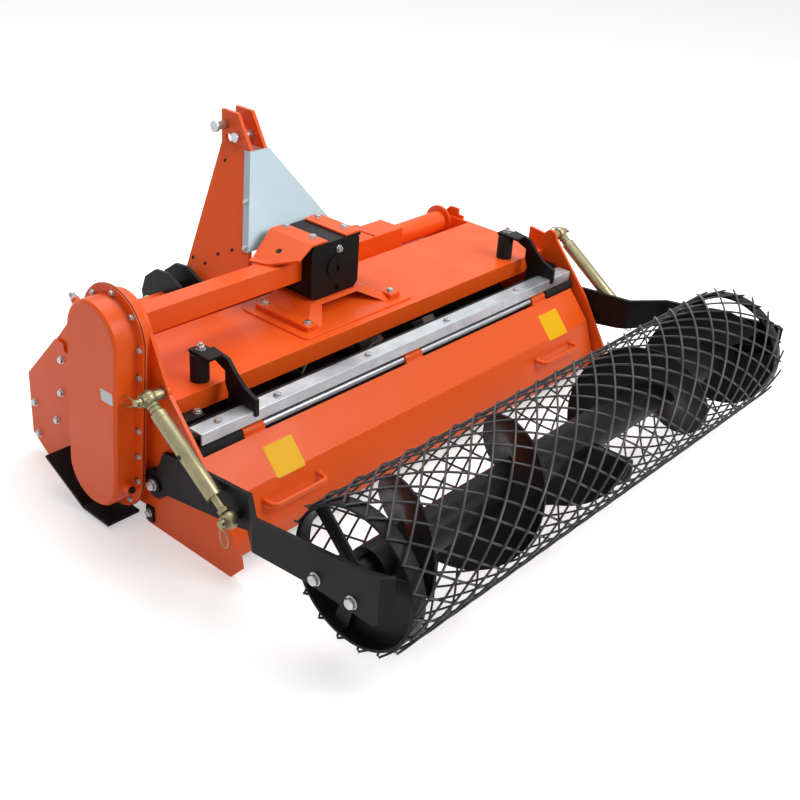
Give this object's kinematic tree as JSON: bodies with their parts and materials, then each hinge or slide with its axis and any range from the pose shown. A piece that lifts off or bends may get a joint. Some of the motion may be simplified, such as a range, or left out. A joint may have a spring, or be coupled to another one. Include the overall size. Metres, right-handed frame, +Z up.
{
  "type": "stone burier",
  "caption": "Tractor-mounted stone burier with a rotor under a hood, a sieve, a tailgate and a mesh roller with an auger.",
  "frame": {"origin": "middle of the machine's footprint on the ground it stands on", "axes": "+X to the right seen from behind, +Y in the driving direction, +Z up"},
  "size_m": [1.797, 1.4714, 0.848],
  "materials": {
    "orange_paint": "gloss",
    "black_paint": "satin",
    "zinc_plate": "satin",
    "yellow_zinc": "satin",
    "bare_steel": "satin",
    "rubber": "matte"
  },
  "bodies": {
    "frame": {"hood_sheet": "orange_paint", "front_beam": "orange_paint", "gear_case": "orange_paint", "gear_case_cover": "orange_paint", "case_shoe": "black_paint", "rotor_hub": "orange_paint", "gearbox_pedestal": "orange_paint", "gearbox": "black_paint", "drive_tube": "orange_paint", "mast_shield": "zinc_plate", "top_link_pin": "zinc_plate", "clevis_bolt": "zinc_plate", "grid_bar": "zinc_plate", "sieve": "black_paint", "hinge_rod": "zinc_plate", "side_plate_left": "orange_paint", "side_plate_right": "orange_paint", "wing_plate_left": "orange_paint", "wing_plate_right": "orange_paint", "bracket_wing_left": "orange_paint", "bracket_wing_right": "orange_paint", "mast_plate_left": "orange_paint", "mast_plate_right": "orange_paint", "hitch_bracket_left": "black_paint", "hitch_bracket_right": "black_paint", "hitch_pin_left": "zinc_plate", "hitch_pin_right": "zinc_plate", "damper_left": "rubber", "damper_right": "rubber", "grid_arm_left": "black_paint", "grid_arm_right": "black_paint", "pivot_bolt_left": "zinc_plate", "pivot_bolt_right": "zinc_plate", "turnbuckle_pin_left": "zinc_plate", "turnbuckle_pin_right": "zinc_plate"},
    "rotor": {"rotor_shaft": "black_paint", "rotor_blades": "bare_steel"},
    "input_shaft": {"pto_shaft": "bare_steel"},
    "tailgate": {"tailgate": "orange_paint", "tailgate_handle_left": "orange_paint", "tailgate_handle_right": "orange_paint"},
    "roller_frame": {"roller_arm_left": "black_paint", "roller_arm_right": "black_paint", "roller_bearing_left": "black_paint", "roller_bearing_right": "black_paint"},
    "roller": {"roller_core": "black_paint", "roller_auger": "black_paint", "roller_mesh": "black_paint", "roller_end_left": "black_paint", "roller_end_right": "black_paint"},
    "screw_sleeve_left": {"turnbuckle_sleeve_left": "yellow_zinc"},
    "screw_sleeve_right": {"turnbuckle_sleeve_right": "yellow_zinc"},
    "screw_rod_left": {"turnbuckle_rod_left": "yellow_zinc"},
    "screw_rod_right": {"turnbuckle_rod_right": "yellow_zinc"}
  },
  "joints": [
    {"name": "rotor_spin", "type": "hinge", "parent": "frame", "child": "rotor", "pos_m": [0.0065, 0.28972, 0.156], "axis": [1, 0, 0], "continuous": true},
    {"name": "input_spin", "type": "hinge", "parent": "frame", "child": "input_shaft", "pos_m": [-0.0535, 0.44472, 0.49], "axis": [0, 1, 0], "continuous": true},
    {"name": "tailgate_hinge", "type": "hinge", "parent": "frame", "child": "tailgate", "pos_m": [0.0065, 0.02372, 0.281], "axis": [-1, 0, 0], "range_deg": [0, 38]},
    {"name": "roller_height", "type": "hinge", "parent": "frame", "child": "roller_frame", "pos_m": [0.0065, 0.14172, 0.153], "axis": [-1, 0, 0], "range_deg": [-8, 8]},
    {"name": "roller_spin", "type": "hinge", "parent": "roller_frame", "child": "roller", "pos_m": [0.0065, -0.54628, 0.252], "axis": [1, 0, 0], "continuous": true},
    {"name": "screw_swing_left", "type": "hinge", "parent": "frame", "child": "screw_sleeve_left", "pos_m": [-0.8435, 0.11772, 0.417], "axis": [-1, 0, 0], "range_deg": [-5.3, 5.3]},
    {"name": "screw_slide_left", "type": "slide", "parent": "screw_sleeve_left", "child": "screw_rod_left", "axis": [0, -0.8245, -0.5658], "range_m": [-0.0333, 0.0333]},
    {"name": "screw_swing_right", "type": "hinge", "parent": "frame", "child": "screw_sleeve_right", "pos_m": [0.8565, 0.11772, 0.417], "axis": [-1, 0, 0], "range_deg": [-5.3, 5.3]},
    {"name": "screw_slide_right", "type": "slide", "parent": "screw_sleeve_right", "child": "screw_rod_right", "axis": [0, -0.8245, -0.5658], "range_m": [-0.0333, 0.0333]}
  ],
  "couplings": [
    {"joint": "input_spin", "follows": "rotor_spin", "ratio": 2.2},
    {"joint": "screw_swing_left", "follows": "roller_height", "ratio": 0.63239},
    {"joint": "screw_slide_left", "follows": "roller_height", "m_per_rad": -0.23111},
    {"joint": "screw_swing_right", "follows": "roller_height", "ratio": 0.63239},
    {"joint": "screw_slide_right", "follows": "roller_height", "m_per_rad": -0.23111}
  ]
}
